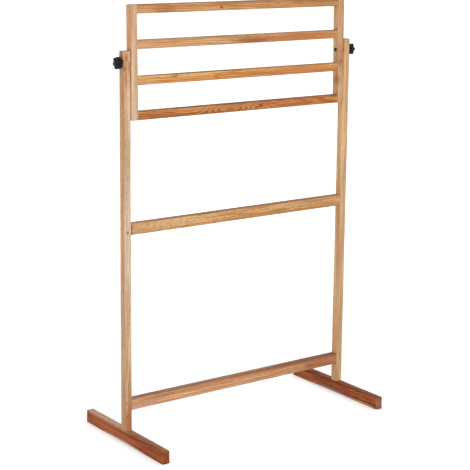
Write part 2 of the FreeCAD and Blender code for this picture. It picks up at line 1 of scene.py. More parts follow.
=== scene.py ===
"""Looks of a freestanding towel stand.

Two posts on arched feet are joined by two rails. A towel frame of two stiles and four bars hangs
between the post tops on two pivot bolts, and a black star knob outside each post clamps it.
Sizes in the classes are millimetres, as on a drawing; meshes and materials are in metres.
"""

import logging
from collections.abc import Iterable
from dataclasses import dataclass, replace
from enum import Enum
from functools import partial
from math import atan2, cos, hypot, pi, radians, sin, sqrt

import bmesh
import bpy
from mathutils import Euler, Matrix, Vector


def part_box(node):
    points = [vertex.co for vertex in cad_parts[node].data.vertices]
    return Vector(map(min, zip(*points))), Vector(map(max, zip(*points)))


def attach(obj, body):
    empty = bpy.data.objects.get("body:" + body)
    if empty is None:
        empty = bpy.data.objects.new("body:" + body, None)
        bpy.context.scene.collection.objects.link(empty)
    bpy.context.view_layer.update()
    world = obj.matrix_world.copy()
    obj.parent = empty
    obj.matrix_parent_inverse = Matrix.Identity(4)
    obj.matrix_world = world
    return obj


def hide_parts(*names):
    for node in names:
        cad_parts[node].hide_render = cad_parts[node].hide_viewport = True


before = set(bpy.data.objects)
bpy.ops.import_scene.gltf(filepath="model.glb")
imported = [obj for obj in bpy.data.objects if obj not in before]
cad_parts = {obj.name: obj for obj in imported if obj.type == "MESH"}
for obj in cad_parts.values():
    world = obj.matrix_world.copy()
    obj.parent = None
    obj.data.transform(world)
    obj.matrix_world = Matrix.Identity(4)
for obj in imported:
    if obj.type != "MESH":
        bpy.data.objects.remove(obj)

log = logging.getLogger("towel_stand")

Paint = tuple[int, int, int]
Colour = tuple[float, float, float]
Point = tuple[float, float, float]
Span = tuple[float, float]
Profile = list[Span]
Socket = bpy.types.NodeSocket
Value = Socket | float | Colour | Point

MM = 0.001
WHITE = (1.0, 1.0, 1.0)
LEAN = 1.0  # the towel frame's lean to the back, in degrees
MERGE = 1e-5  # mesh points closer than this, in millimetres, become one


def linear(paint: Paint) -> Colour:
    """A screen's colour as a shader takes it.

    Args:
        paint: Red, green and blue as a screen shows them, 0 to 255.

    Returns:
        The three linear values.
    """
    shares = (part / 255 for part in paint)
    return tuple(
        share / 12.92 if share < 0.04045 else ((share + 0.055) / 1.055) ** 2.4 for share in shares
    )


def darker(colour: Colour, share: float) -> Colour:
    """A colour that keeps only a share of its light."""
    return tuple(share * part for part in colour)


class Side(Enum):
    """The left and right of the stand, as the viewer sees them."""

    LEFT = -1
    RIGHT = 1

    @property
    def word(self) -> str:
        """The side's name, as the pieces' names begin."""
        return self.name.lower()


class Grain(Enum):
    """Which way a board's fibres run, as the turn of the board's own length from X, in degrees."""

    ACROSS = (0.0, 0.0, 0.0)
    BACKWARD = (0.0, 0.0, 90.0)
    UPWARD = (0.0, -90.0, 0.0)

    def turn(self, lean: float) -> Matrix:
        """The turn of a board's own axes, its length first, when it leans so many degrees back."""
        own = Euler([radians(angle) for angle in self.value]).to_matrix()
        return Matrix.Rotation(-radians(lean), 3, "X") @ own


@dataclass(frozen=True)
class Noise:
    """Soft noise about 0.5, and how much of it shows.

    stretch is how many of its waves there are to a metre on each axis, and detail how many finer
    layers it has. What shows of it starts at low and is whole at high.
    """

    stretch: Point
    detail: float = 2.0
    low: float = 0.0
    high: float = 1.0


class Nodes:
    """A node tree, with short calls for the nodes that finishes and light are made of."""

    def __init__(self, tree: bpy.types.NodeTree) -> None:
        """Takes the tree."""
        self.tree = tree

    def put(self, socket: Socket, value: Value) -> None:
        """Wires a socket to another one, or sets its constant.

        Args:
            socket: The input.
            value: The output to wire it to, or its number, point or colour.
        """
        if isinstance(value, bpy.types.NodeSocket):
            self.tree.links.new(value, socket)
        elif socket.type == "RGBA":
            socket.default_value = (*value, 1.0)
        else:
            socket.default_value = value

    def node(self, kind: str, *values: Value, **settings: str | int) -> bpy.types.Node:
        """Adds a node.

        Args:
            kind: Its type, without the leading ShaderNode.
            values: What goes into its first sockets.
            settings: Its own options.

        Returns:
            The node.
        """
        made = self.tree.nodes.new(f"ShaderNode{kind}")
        for option, choice in settings.items():
            setattr(made, option, choice)
        for socket, value in zip(made.inputs, values):
            self.put(socket, value)
        return made

    def sum(self, operation: str, *values: Value) -> Socket:
        """A sum on numbers, such as ADD or MULTIPLY."""
        return self.node("Math", *values, operation=operation).outputs[0]

    def move(self, operation: str, *values: Value) -> Socket:
        """A sum on points that gives a point."""
        return self.node("VectorMath", *values, operation=operation).outputs["Vector"]

    def axes(self, point: Socket) -> tuple[Socket, Socket, Socket]:
        """The three numbers of a point."""
        return tuple(self.node("SeparateXYZ", point).outputs)

    def length(self, point: Socket) -> Socket:
        """How far a point is from the origin."""
        return self.node("VectorMath", point, operation="LENGTH").outputs["Value"]

    def mapped(self, point: Socket, at: Point, turn: Point, scale: Point) -> Socket:
        """A point as seen from a place of its own, turned and scaled there."""
        return self.node("Mapping", point, at, turn, scale, vector_type="TEXTURE").outputs[0]

    def noise(self, point: Socket, kind: Noise, colour: bool = False) -> Socket:
        """Soft noise.

        Args:
            point: Where on the piece.
            kind: Which noise.
            colour: Whether three values are wanted instead of one.

        Returns:
            The noise, about 0.5.
        """
        made = self.node("TexNoise", noise_dimensions="3D")
        self.put(made.inputs["Vector"], self.move("MULTIPLY", point, kind.stretch))
        self.put(made.inputs["Scale"], 1.0)
        self.put(made.inputs["Detail"], kind.detail)
        self.put(made.inputs["Roughness"], 0.55)
        return made.outputs["Color" if colour else "Fac"]

    def span(self, value: Value, low: float, high: float, first: float = 0.0, last: float = 1.0) -> Socket:
        """A value's way from low to high, eased at both ends, as a value from first to last."""
        made = self.node("MapRange", value, low, high, first, last, interpolation_type="SMOOTHSTEP")
        return made.outputs[0]

    def showing(self, point: Socket, kind: Noise, strength: float = 1.0) -> Socket:
        """What shows of a noise, from 0 to its strength."""
        return self.span(self.noise(point, kind), kind.low, kind.high, 0.0, strength)

    def blend(self, share: Value, first: Value, second: Value) -> Socket:
        """Lays one colour over another.

        Args:
            share: How much of the second colour is laid over the first.
            first, second: The colours.

        Returns:
            The colour that shows.
        """
        made = self.node("Mix", data_type="RGBA")
        for index, value in ((0, share), (6, first), (7, second)):
            self.put(made.inputs[index], value)
        return made.outputs[2]

    def seen(self) -> Socket:
        """Tells apart the rays that look at a surface.

        Returns:
            1 for a ray in the picture, in a reflection or through glass, and 0 for light.
        """
        rays = self.node("LightPath").outputs
        mirrored = self.sum("MAXIMUM", rays["Is Glossy Ray"], rays["Is Transmission Ray"])
        return self.sum("MAXIMUM", rays["Is Camera Ray"], mirrored)


class Shader(Nodes):
    """The node tree of one material."""

    def __init__(self, name: str) -> None:
        """Starts a material with its Principled shader.

        Args:
            name: The material's name.
        """
        self.material = bpy.data.materials.new(name)
        self.material.use_nodes = True
        super().__init__(self.material.node_tree)
        self.surface = self.tree.nodes["Principled BSDF"]
        self.place = self.node("TexCoord").outputs["Object"]

    def relief(self, height: Socket, depth: float, strength: float = 1.0) -> None:
        """Gives the surface a relief.

        Args:
            height: The relief, 0 to 1.
            depth: Its depth in millimetres.
            strength: How strongly it shows.
        """
        made = self.node("Bump")
        self.put(made.inputs["Strength"], strength)
        self.put(made.inputs["Distance"], depth * MM)
        self.put(made.inputs["Height"], height)
        self.put(self.surface.inputs["Normal"], made.outputs["Normal"])

    def finish(self, **inputs: Value) -> bpy.types.Material:
        """Fills the Principled shader's own sockets.

        Args:
            inputs: Their names, with _ for a space, and the constant or output each one gets.

        Returns:
            The material.
        """
        for name, value in inputs.items():
            self.put(self.surface.inputs[name.replace("_", " ")], value)
        return self.material


@dataclass(frozen=True)
class Mark:
    """A knot, stain or streak in a board, or shade painted on it.

    at and reach are millimetres along the fibres and across them, from the board's middle. swirl
    is how many rings it pushes the grain aside.
    """

    at: Point
    reach: Point
    colour: Paint
    strength: float = 1.0
    swirl: float = 0.0

    def mask(self, shader: Shader, board: Socket, ragged: Socket) -> tuple[Socket, Socket]:
        """Where the mark is. Its fades are counted in its own reaches, from the outside in.

        Args:
            shader: The board's shader.
            board: Places on the board, in metres.
            ragged: Noise that breaks the mark's outline.

        Returns:
            How strongly the mark shows, and how far it pushes the rings aside.
        """
        raggedness, fade, push_fade = 1.1, (1.15, 0.35), (3.2, 0.0)
        at, reach = (tuple(MM * part for part in sizes) for sizes in (self.at, self.reach))
        away = shader.length(shader.mapped(board, at, (0, 0, 0), reach))
        offset = shader.sum("MULTIPLY", shader.sum("SUBTRACT", ragged, 0.5), raggedness)
        shown = shader.span(shader.sum("ADD", away, offset), *fade, 0.0, self.strength)
        return shown, shader.span(away, *push_fade, 0.0, self.swirl)


ORANGE = (176, 104, 56)
KNOT = (88, 50, 32)
STREAK = (132, 86, 52)

# The patterns in the wood, along the fibres and across them.
WANDER = Noise((5.0, 30.0, 30.0))
BROAD_BANDS = Noise((3.4, 62.0, 62.0), 3.0)
NARROW_BANDS = Noise((9.0, 330.0, 330.0), 3.0)
OUTLINES = Noise((60.0, 420.0, 420.0), 3.0)
LINES = Noise((6.0, 780.0, 780.0), 2.0, 0.57, 0.70)
FIBRES = Noise((70.0, 2600.0, 2600.0), 2.0, 0.3, 0.75)
VESSELS = Noise((150.0, 820.0, 820.0), 1.0, 0.58, 0.67)
WIDE_VESSELS = Noise((105.0, 340.0, 340.0), 1.0, 0.58, 0.67)
PORES = Noise((240.0, 3000.0, 3000.0), 1.0, 0.64, 0.72)
SHEEN = Noise((24.0, 160.0, 160.0))


@dataclass(frozen=True)
class Wood:
    """One board of oiled hardwood, with its own colour, rings and marks.

    pale and deep are the colours of its light and dark fibres, size its length and two widths in
    millimetres, seed its place in the tree and lean its lean back in degrees. heart is where the
    middle of the tree lay, in millimetres across the board, and drift how far that moved along the
    board, as a slope. ring is a year's width in millimetres and figure how strongly the rings show.
    edge is how much painted shade darkens the rounded edges, gloss how strongly the oiled surface
    shines, and fleck how dark its short vessel lines are.
    """

    pale: Paint
    deep: Paint
    size: Point
    grain: Grain
    seed: float
    lean: float = 0.0
    heart: Span = (34.0, 26.0)
    drift: Span = (0.02, 0.035)
    ring: float = 3.4
    figure: float = 0.5
    edge: float = 0.2
    gloss: float = 0.2
    fleck: float = 0.25
    marks: tuple[Mark, ...] = ()

    def marked(self, *marks: Mark) -> "Wood":
        """The same board with its marks, each laid over those before it."""
        return replace(self, marks=marks)

    def board(self, shader: Shader, middle: Vector) -> Socket:
        """Places on the board: along its fibres, then the two ways across, from its middle."""
        turn = tuple(self.grain.turn(self.lean).to_euler())
        return shader.mapped(shader.place, tuple(middle), turn, (1, 1, 1))

    def rings(self, shader: Shader, board: Socket, tree: Socket, swirl: Socket | None) -> Socket:
        """The year rings, pale in spring and dark where the summer ends.

        Args:
            shader: The board's shader.
            board: Places on the board.
            tree: The same places, moved to this board's part of the tree.
            swirl: How far marks push the rings aside, if any do.

        Returns:
            0 in the pale wood to 1 in the dark.
        """
        wander_reach, darkening, ending = (0.0, 0.014, 0.014), (0.2, 0.9), (1.0, 0.93)
        wander = shader.noise(tree, WANDER, colour=True)
        wander = shader.move("SUBTRACT", wander, (0.5, 0.5, 0.5))
        bent = shader.move("ADD", board, shader.move("MULTIPLY", wander, wander_reach))
        along, *widths = shader.axes(bent)
        squares = []
        for across, heart, drift in zip(widths, self.heart, self.drift):
            straight = shader.sum("MULTIPLY_ADD", along, drift, across)
            squares.append(shader.sum("POWER", shader.sum("ADD", straight, heart * MM), 2.0))
        radius = shader.sum("SQRT", shader.sum("ADD", *squares))
        year = shader.sum("DIVIDE", radius, self.ring * MM)
        if swirl is not None:
            year = shader.sum("ADD", year, swirl)
        part = shader.sum("FRACT", year)
        return shader.sum("MULTIPLY", shader.span(part, *darkening), shader.span(part, *ending))

    def borders(self, shader: Shader, board: Socket) -> tuple[Socket, Socket]:
        """The board's four long edges and its two ends, in a margin along its faces.

        Args:
            shader: The board's shader.
            board: Places on the board.

        Returns:
            1 on the rounding of the long edges, and 1 at the ends.
        """
        margin, edge_fade, end_fade = 2.0, (0.0, 1.2 * MM), (0.9 * MM, 1.9 * MM)
        lengthwise, *widths = (
            shader.sum("SUBTRACT", away, (size / 2 - margin) * MM)
            for away, size in zip(shader.axes(shader.move("ABSOLUTE", board)), self.size)
        )
        edges = shader.span(shader.sum("MINIMUM", *widths), *edge_fade)
        return edges, shader.span(lengthwise, *end_fade)

    def tone(self, shader: Shader, tree: Socket, rings: Socket) -> Socket:
        """How dark the wood is: broad bands, narrower ones and the rings together.

        Args:
            shader: The board's shader.
            tree: Places in the tree.
            rings: The year rings.

        Returns:
            0 for the board's pale colour to 1 for its deep one.
        """
        broad, narrow, ring, middle_ring = 2.4, 2.0, 0.95 * self.figure, 0.4 * self.figure
        level = 0.5 - (broad + narrow) / 2 - middle_ring
        depth = shader.sum("MULTIPLY_ADD", shader.noise(tree, BROAD_BANDS), broad, level)
        depth = shader.sum("MULTIPLY_ADD", shader.noise(tree, NARROW_BANDS), narrow, depth)
        return shader.span(shader.sum("MULTIPLY_ADD", rings, ring, depth), 0.0, 1.0)

    def colour(self, shader: Shader, board: Socket, tree: Socket, pores: Socket) -> tuple[Socket, Socket]:
        """The wood's colour, with its marks.

        Args:
            shader: The board's shader.
            board: Places on the board.
            tree: Places in the tree.
            pores: The open pores.

        Returns:
            The colour and the year rings.
        """
        ragged = shader.noise(tree, OUTLINES)
        masks = [mark.mask(shader, board, ragged) for mark in self.marks]
        swirl = None
        for mark, (_, push) in zip(self.marks, masks):
            if mark.swirl:
                swirl = push if swirl is None else shader.sum("ADD", swirl, push)
        rings = self.rings(shader, board, tree, swirl)
        tone = self.tone(shader, tree, rings)
        deep = linear(self.deep)
        colour = shader.blend(tone, linear(self.pale), deep)
        marked_tone, dark_share, darkest_share = 0.55, 0.6, 0.36
        for mark, (mask, _) in zip(self.marks, masks):
            tint = linear(mark.colour)
            grain = shader.sum("MULTIPLY", tone, marked_tone)
            colour = shader.blend(mask, colour, shader.blend(grain, tint, darker(tint, dark_share)))
        dark, darkest = darker(deep, dark_share), darker(deep, darkest_share)
        streaks = ((LINES, 0.55 * self.figure), (FIBRES, 0.28))
        flecks = ((VESSELS, self.fleck), (WIDE_VESSELS, 0.7 * self.fleck))
        for layer, strength in streaks + flecks:
            colour = shader.blend(shader.showing(tree, layer, strength), colour, dark)
        edges, ends = self.borders(shader, board)
        # Pores are the wood's own dark; the rounded edges get painted shade, and the ends a dark glue line
        # that is partly painted shade in the gap of each joint.
        pores_and_painted_shade = ((pores, 0.5, darkest), (edges, self.edge, darkest), (ends, 0.4, dark))
        for place, strength, shade in pores_and_painted_shade:
            colour = shader.blend(shader.sum("MULTIPLY", place, strength), colour, shade)
        return colour, rings

    def material(self, name: str, middle: Vector) -> bpy.types.Material:
        """The board's material.

        Args:
            name: The material's name.
            middle: The board's middle, in metres.

        Returns:
            The material, with the pattern lying in the board's own axes.
        """
        seed_step, relief, relief_strength = (1.37, 0.71, 0.43), 0.09, 0.7
        dullest, sheen, pore_dulling, ring_rise, pore_rise = 0.5, 0.24, 0.15, 0.3, -0.9
        shader = Shader(name)
        board = self.board(shader, middle)
        tree = shader.move("ADD", board, tuple(self.seed * step for step in seed_step))
        pores = shader.showing(tree, PORES)
        colour, rings = self.colour(shader, board, tree, pores)
        rough = shader.sum("MULTIPLY_ADD", shader.noise(tree, SHEEN), sheen, dullest)
        rough = shader.sum("MULTIPLY_ADD", pores, pore_dulling, rough)
        pits = shader.sum("MULTIPLY", pores, pore_rise)
        shader.relief(shader.sum("MULTIPLY_ADD", rings, ring_rise, pits), relief, relief_strength)
        return shader.finish(Base_Color=colour, Roughness=rough, Specular_IOR_Level=self.gloss)

    def dress(self, *pieces: str) -> None:
        """Gives CAD pieces cut from this board one material, which runs through them."""
        low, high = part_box(pieces[0])
        wear(self.material(f"{pieces[0]} wood", (low + high) / 2), *pieces)


@dataclass(frozen=True)
class Dowel:
    """Plain beech, as turned for dowels, with its fibres along the dowel."""

    colour: Paint = (214, 178, 136)
    fleck: Paint = (164, 116, 74)
    stretch: Point = (60.0, 1800.0, 1800.0)

    def material(self, name: str) -> bpy.types.Material:
        """Pale wood with short dark flecks.

        Args:
            name: The material's name.

        Returns:
            The material.
        """
        shader = Shader(name)
        flecks = shader.noise(shader.place, Noise(self.stretch))
        fleck = shader.span(flecks, 0.42, 0.7, 0.0, 0.6)
        colour = shader.blend(fleck, linear(self.colour), linear(self.fleck))
        shader.relief(flecks, 0.1)
        return shader.finish(Base_Color=colour, Roughness=shader.span(flecks, 0.2, 0.8, 0.55, 0.75))


@dataclass(frozen=True)
class Metal:
    """Steel or brass, turned or pressed, with its plating."""

    colour: Paint
    dull: Paint
    roughness: float
    dulling: float = 0.16
    patches: Noise = Noise((130.0, 130.0, 130.0), 3.0)
    tooling: Noise = Noise((900.0, 2600.0, 2600.0))

    def material(self, name: str) -> bpy.types.Material:
        """Bright metal with duller patches and fine tool marks.

        Args:
            name: The material's name.

        Returns:
            The material.
        """
        shader = Shader(name)
        patches = shader.noise(shader.place, self.patches)
        tooling = shader.noise(shader.place, self.tooling)
        dull = shader.span(patches, 0.35, 0.75)
        colour = shader.blend(dull, linear(self.colour), linear(self.dull))
        rough = shader.span(patches, 0.3, 0.75, self.roughness, self.roughness + self.dulling)
        rough = shader.sum("MULTIPLY_ADD", tooling, 0.08, rough)
        shader.relief(tooling, 0.03, 0.5)
        return shader.finish(Base_Color=colour, Roughness=rough, Metallic=1.0)


@dataclass(frozen=True)
class Plastic:
    """Black moulded plastic with a fine eroded texture that fingers have polished a little."""

    colour: Paint
    worn: Paint
    roughness: float = 0.46
    polish: float = 0.08
    gloss: float = 0.12
    texture: Noise = Noise((3200.0, 3200.0, 3200.0))
    handling: Noise = Noise((95.0, 95.0, 95.0))

    def material(self, name: str) -> bpy.types.Material:
        """Near-black plastic, its moulded grain, and smoother worn patches.

        Args:
            name: The material's name.

        Returns:
            The material.
        """
        shader = Shader(name)
        handled = shader.noise(shader.place, self.handling)
        worn = shader.span(handled, 0.35, 0.7)
        colour = shader.blend(worn, linear(self.colour), linear(self.worn))
        matt, smooth = self.roughness + self.polish, self.roughness - self.polish
        shader.relief(shader.noise(shader.place, self.texture), 0.05, 0.6)
        return shader.finish(
            Base_Color=colour,
            Roughness=shader.span(handled, 0.35, 0.72, matt, smooth),
            Specular_IOR_Level=self.gloss,
        )


ZINC = Metal((196, 198, 202), (150, 152, 158), 0.26)
BLACKENED = Metal((58, 56, 58), (34, 32, 34), 0.14)
BRASS = Metal((214, 178, 104), (170, 132, 74), 0.28)
KNOB_PLASTIC = Plastic((17, 14, 13), (26, 21, 19))
CAP_PLASTIC = Plastic((13, 11, 11), (20, 17, 16), 0.4, texture=Noise((4200.0, 4200.0, 4200.0)))


def wear(material: bpy.types.Material, *pieces: str) -> None:
    """Gives every slot of CAD pieces a material.

    Args:
        material: The material.
        pieces: The pieces' names.
    """
    for piece in pieces:
        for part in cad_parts[piece].material_slots:
            part.material = material
        log.info("%s is finished in %s", piece, material.name)


def arc(middle: Span, radius: float, start: float, end: float, steps: int) -> Profile:
    """Points of a rounding in a turned profile.

    Args:
        middle: Its middle, as radius and height.
        radius: Its radius.
        start, end: Its ends, in degrees from straight out, counted upwards.
        steps: How many runs it has.

    Returns:
        The points, both ends among them.
    """
    angles = (radians(start + (end - start) * step / steps) for step in range(steps + 1))
    out, up = middle
    return [(out + radius * cos(angle), up + radius * sin(angle)) for angle in angles]


def turned(profile: Profile, steps: int) -> bmesh.types.BMesh:
    """A closed solid of revolution about Z.

    Args:
        profile: Radius and height, from the axis round to the axis again.
        steps: How many sides the solid has.

    Returns:
        The mesh, in the profile's own units.
    """
    mesh = bmesh.new()
    points = [mesh.verts.new((radius, 0.0, height)) for radius, height in profile]
    runs = [mesh.edges.new(pair) for pair in zip(points, points[1:])]
    bmesh.ops.spin(
        mesh, geom=points + runs, cent=(0, 0, 0), axis=(0, 0, 1), dvec=(0, 0, 0),
        angle=2 * pi, steps=steps, use_merge=True,
    )
    bmesh.ops.remove_doubles(mesh, verts=mesh.verts, dist=MERGE)
    bmesh.ops.recalc_face_normals(mesh, faces=mesh.faces)
    return mesh


def join(meshes: Iterable[bmesh.types.BMesh]) -> bmesh.types.BMesh:
    """Puts several closed meshes into one.

    Args:
        meshes: The meshes, which are used up.

    Returns:
        The one mesh.
    """
    whole = bmesh.new()
    for mesh in meshes:
        part = bpy.data.meshes.new("part")
        mesh.to_mesh(part)
        mesh.free()
        whole.from_mesh(part)
        bpy.data.meshes.remove(part)
    return whole


def piece_of(
    mesh: bmesh.types.BMesh, name: str, material: bpy.types.Material, place: Matrix, crease: float = 34.0
) -> bpy.types.Object:
    """Makes a finished piece of a mesh in millimetres.

    Args:
        mesh: The mesh, which is used up.
        name: The piece's name.
        material: Its finish.
        place: Where the mesh goes, in millimetres.
        crease: Angle past which an edge is drawn sharp, in degrees.

    Returns:
        The object, at the origin, with its place in its mesh.
    """
    bmesh.ops.transform(mesh, matrix=Matrix.Scale(MM, 4) @ place, verts=mesh.verts)
    if place.determinant() < 0:
        bmesh.ops.reverse_faces(mesh, faces=mesh.faces)
    for edge in mesh.edges:
        edge.smooth = len(edge.link_faces) == 2 and edge.calc_face_angle() < radians(crease)
    for face in mesh.faces:
        face.smooth = True
    made = bpy.data.meshes.new(name)
    mesh.to_mesh(made)
    mesh.free()
    made.materials.append(material)
    shown = bpy.data.objects.new(name, made)
    bpy.context.scene.collection.objects.link(shown)
    return shown


@dataclass(frozen=True)
class Pivot:
    """The pivot axis of one side, outwards from the stile, with a turn about itself."""

    side: Side
    level: float = 948.0

    def place(self, out: float, turn: float = 0.0) -> Matrix:
        """Where a piece made along +Z goes.

        Args:
            out: Distance of the piece's foot from the stand's middle.
            turn: Turn of a lobe above the front, in degrees.

        Returns:
            The place, in millimetres.
        """
        sign = self.side.value
        lean = Matrix.Rotation(-radians(LEAN), 4, "X")
        outwards = Matrix(((0, 0, sign, sign * out), (-1, 0, 0, 0), (0, -sign, 0, 0), (0, 0, 0, 1)))
        about = Matrix.Rotation(radians(turn), 4, "Z")
        return Matrix.Translation((0, 0, self.level)) @ lean @ outwards @ about


@dataclass
class StarKnob:
    """A moulded star knob on its pivot bolt, with its cap.

    disc and hub are the heights of the lobed disc and of the hub under it. scallop, bore, seat, cap
    and the ring's inner and outer sizes are radii. face is the distance of the hub's foot from the
    stand's middle.
    """

    pivot: Pivot
    turn: float
    diameter: float = 30.0
    disc: float = 12.0
    hub_diameter: float = 17.0
    hub: float = 2.5
    hub_round: float = 0.5
    lobes: int = 6
    scallop: float = 6.0
    scallop_depth: float = 3.5
    corner: float = 1.5
    rim: float = 1.4
    seam: float = 0.24
    seam_depth: float = 0.06
    bore: float = 4.55
    bore_depth: float = 11.0
    bore_chamfer: float = 0.35
    seat: float = 6.05
    seat_depth: float = 1.5
    seat_chamfer: float = 0.15
    ring_outer: float = 9.7
    ring_inner: float = 7.5
    ring_depth: float = 0.6
    cap: float = 6.0
    cap_proud: float = 1.2
    face: float = 351.6
    sides: int = 216
    cap_sides: int = 96

    def outline(self, angle: float, inset: float) -> float:
        """Radius of the lobed outline.

        Args:
            angle: Angle from the middle of a hollow, in radians.
            inset: How far inside the outline.

        Returns:
            The radius there, with the lobes' corners rounded.
        """
        pitch = 2 * pi / self.lobes
        away = (angle + pitch / 2) % pitch - pitch / 2
        circle = self.diameter / 2 - inset
        middle = self.diameter / 2 - self.scallop_depth + self.scallop
        hollow = self.scallop + inset
        under = hollow**2 - (middle * sin(away)) ** 2
        if under <= 0:
            return circle
        near = middle * cos(away) - sqrt(under)
        share = max(self.corner - abs(near - circle), 0.0) / self.corner
        return min(near, circle) - share**2 * self.corner / 4

    def profile(self) -> Profile:
        """The knob's section.

        Returns:
            Radius and height, from the top of the bore round to the middle of the cap's seat.
        """
        low, top, out = self.hub, self.hub + self.disc, self.diameter / 2
        bore, chamfer, rim = self.bore, self.bore_chamfer, self.rim
        under = [(0.0, self.bore_depth), (bore, self.bore_depth), (bore, chamfer), (bore + chamfer, 0.0)]
        hub, soft = self.hub_diameter / 2, self.hub_round
        foot = [(hub - soft, 0.0), *arc((hub - soft, soft), soft, -60, 0, 3)]
        neck = [(hub, low - soft), (hub + 0.15, low - 0.15), (hub + 0.6, low)]
        lower = arc((out - rim, low + rim), rim, -90, 0, 6)
        middle, half = (low + top) / 2, self.seam / 2
        seam = [(out, middle - half), (out - self.seam_depth, middle), (out, middle + half)]
        upper = arc((out - rim, top - rim), rim, 0, 90, 7)
        ring, boss, deep = self.ring_outer, self.ring_inner, top - self.ring_depth
        dish = [(ring + 0.25, top), (ring + 0.05, top - 0.1), (ring - 0.1, deep + 0.2), (ring - 0.4, deep)]
        rise = [(boss + 0.4, deep), (boss + 0.1, deep + 0.2), (boss - 0.05, top - 0.1), (boss - 0.25, top)]
        seat, chamfer, sunk = self.seat, self.seat_chamfer, top - self.seat_depth
        socket = [(seat + chamfer, top), (seat, top - chamfer), (seat, sunk), (0.0, sunk)]
        return under + foot + neck + lower + seam + upper + dish + rise + socket

    def knob_mesh(self) -> bmesh.types.BMesh:
        """The turned knob, its rim pressed in between the lobes.

        Returns:
            The mesh, round to just past the hub and lobed from there on.
        """
        mesh = turned(self.profile(), self.sides)
        hub, change = self.hub_diameter / 2 + 0.7, 1.6
        for vertex in mesh.verts:
            radius = hypot(vertex.co.x, vertex.co.y)
            share = min(max((radius - hub) / change, 0.0), 1.0)
            if share:
                angle = atan2(vertex.co.y, vertex.co.x) - pi / self.lobes
                lobed = self.outline(angle, self.diameter / 2 - radius)
                scale = 1 + share * (max(lobed, hub) / radius - 1)
                vertex.co.x *= scale
                vertex.co.y *= scale
        return mesh

    def cap_mesh(self) -> bmesh.types.BMesh:
        """The crowned cap, with the small dimple of its moulding.

        Returns:
            The mesh, with the knob's top at 0.
        """
        proud, radius = self.cap_proud, self.cap
        dimple = [(0.0, proud - 0.14), (0.35, proud - 0.13), (0.55, proud - 0.02)]
        crown = [(0.8, proud), (2.6, proud - 0.05), (4.2, proud - 0.2), (5.0, proud - 0.38)]
        rim = [(5.5, proud - 0.62), (5.8, proud - 0.9), (5.93, proud - 1.15), (radius, proud - 1.35)]
        foot = [(radius, -self.seat_depth), (0.0, -self.seat_depth)]
        return turned(dimple + crown + rim + foot, self.cap_sides)

    def build(self) -> None:
        """Makes the knob and its cap and lets them ride with the knob."""
        side = self.pivot.side.word
        tops = self.face + self.hub + self.disc
        parts = (
            ("knob", self.knob_mesh, self.face, KNOB_PLASTIC, "knob_plastic"),
            ("knob_cap", self.cap_mesh, tops, CAP_PLASTIC, "cap_plastic"),
        )
        for word, mesh, out, finish, slot in parts:
            name = f"{side}_{word}"
            material = finish.material(f"{name} plastic")
            shown = piece_of(mesh(), f"{name}_moulded", material, self.pivot.place(out, self.turn))
            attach(shown, f"{side}_knob_assembly")
            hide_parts(name)
            log.info("%s has %d faces", shown.name, len(shown.data.polygons))


